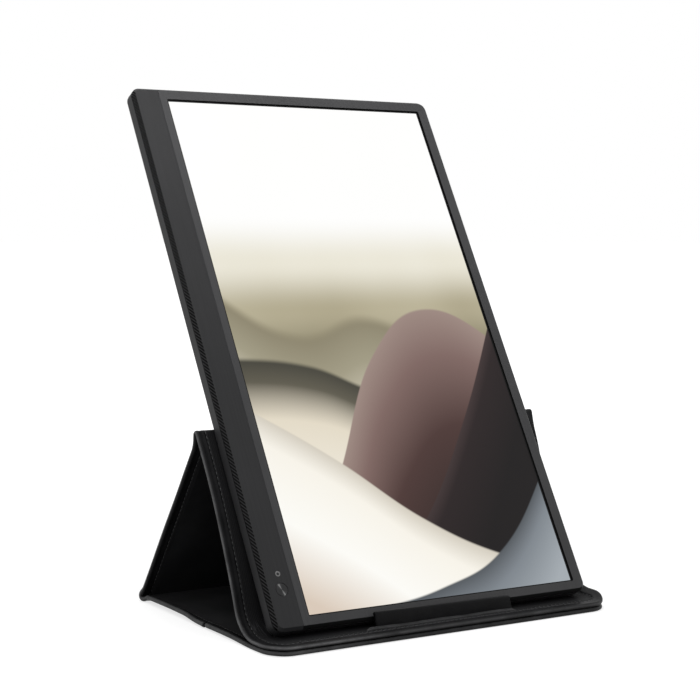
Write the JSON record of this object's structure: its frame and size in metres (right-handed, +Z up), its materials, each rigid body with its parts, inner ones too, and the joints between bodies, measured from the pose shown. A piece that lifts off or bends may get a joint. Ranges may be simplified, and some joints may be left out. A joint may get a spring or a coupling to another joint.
{
  "type": "portable monitor with folding cover stand",
  "caption": "Slim portable monitor standing in portrait on a leather-look cover that folds into a triangular stand with a stop lip.",
  "frame": {"origin": "centre of the cover base's underside, on the table", "axes": "+Z up from the table, +X to the right as the screen is faced, +Y to the back; the screen faces -Y and up"},
  "size_m": [0.249, 0.2094, 0.3178],
  "materials": {
    "leather": "fine grained, semi-matt",
    "lining": "fine ribbed",
    "card": "plain fibreboard",
    "magnet": "nickel plated",
    "chin_plastic": "hairline brushed",
    "bezel_plastic": "fine matt",
    "shell_plastic": "fine matt",
    "inner_plastic": "matt",
    "display_glass": "anti-glare",
    "film": "translucent",
    "sheet_metal": "plain",
    "circuit_board": "solder mask",
    "flex": "polyimide",
    "button_metal": "spun",
    "lens": "clear",
    "brass": "turned"
  },
  "bodies": {
    "base": {"base_leather": "leather", "base_front_board": "card", "base_rear_board": "card", "base_lining": "lining", "base_magnets": "magnet", "rear_fold_strip": "leather"},
    "rear_panel": {"rear_leather": "leather", "rear_board": "card", "rear_lining": "lining", "apex_fold_strip": "leather"},
    "lean_panel": {"lean_leather": "leather", "lean_board": "card", "lean_lining": "lining", "front_bend_strip": "leather"},
    "flap": {"flap_leather": "leather", "flap_board": "card", "flap_lining": "lining", "flap_magnets": "magnet", "stop_lip_skin": "leather", "stop_lip_core": "card"},
    "monitor": {"front_bezel": "bezel_plastic", "chin_cover": "chin_plastic", "mid_frame": "inner_plastic", "rear_shell": "shell_plastic", "display_cell": "display_glass", "diffuser_stack": "film", "light_guide": "film", "backlight_tray": "sheet_metal", "led_strip": "flex", "display_flex": "flex", "main_board": "circuit_board", "board_shield": "sheet_metal", "usb_c_socket": "sheet_metal", "board_screws": "sheet_metal", "button_board": "circuit_board", "tact_switch": "sheet_metal", "status_lens": "lens", "tripod_insert": "brass"},
    "power_button": {"power_button": "button_metal"}
  },
  "joints": [
    {"name": "rear_fold", "type": "hinge", "parent": "base", "child": "rear_panel", "pos_m": [0, 0.0793, 0.00295], "axis": [1, 0, 0], "range_deg": [0, 48], "deforming": ["rear_fold_strip"]},
    {"name": "apex_fold", "type": "hinge", "parent": "rear_panel", "child": "lean_panel", "pos_m": [0, 0.01103, 0.10849], "axis": [1, 0, 0], "range_deg": [-96, 0], "deforming": ["apex_fold_strip"]},
    {"name": "bend_fold", "type": "hinge", "parent": "lean_panel", "child": "flap", "pos_m": [0, -0.05725, 0.00295], "axis": [1, 0, 0], "range_deg": [0, 48], "deforming": ["front_bend_strip"]},
    {"name": "monitor_lift", "type": "slide", "parent": "lean_panel", "child": "monitor", "axis": [0, 0.52, 0.8542], "range_m": [0, 0.15]},
    {"name": "power_press", "type": "slide", "parent": "monitor", "child": "power_button", "axis": [0, 0.8542, -0.52], "range_m": [0, 0.0005], "stiffness_N_per_m": 3750}
  ],
  "couplings": [
    {"joint": "apex_fold", "follows": "rear_fold", "ratio": -2},
    {"joint": "bend_fold", "follows": "rear_fold", "ratio": 1}
  ]
}
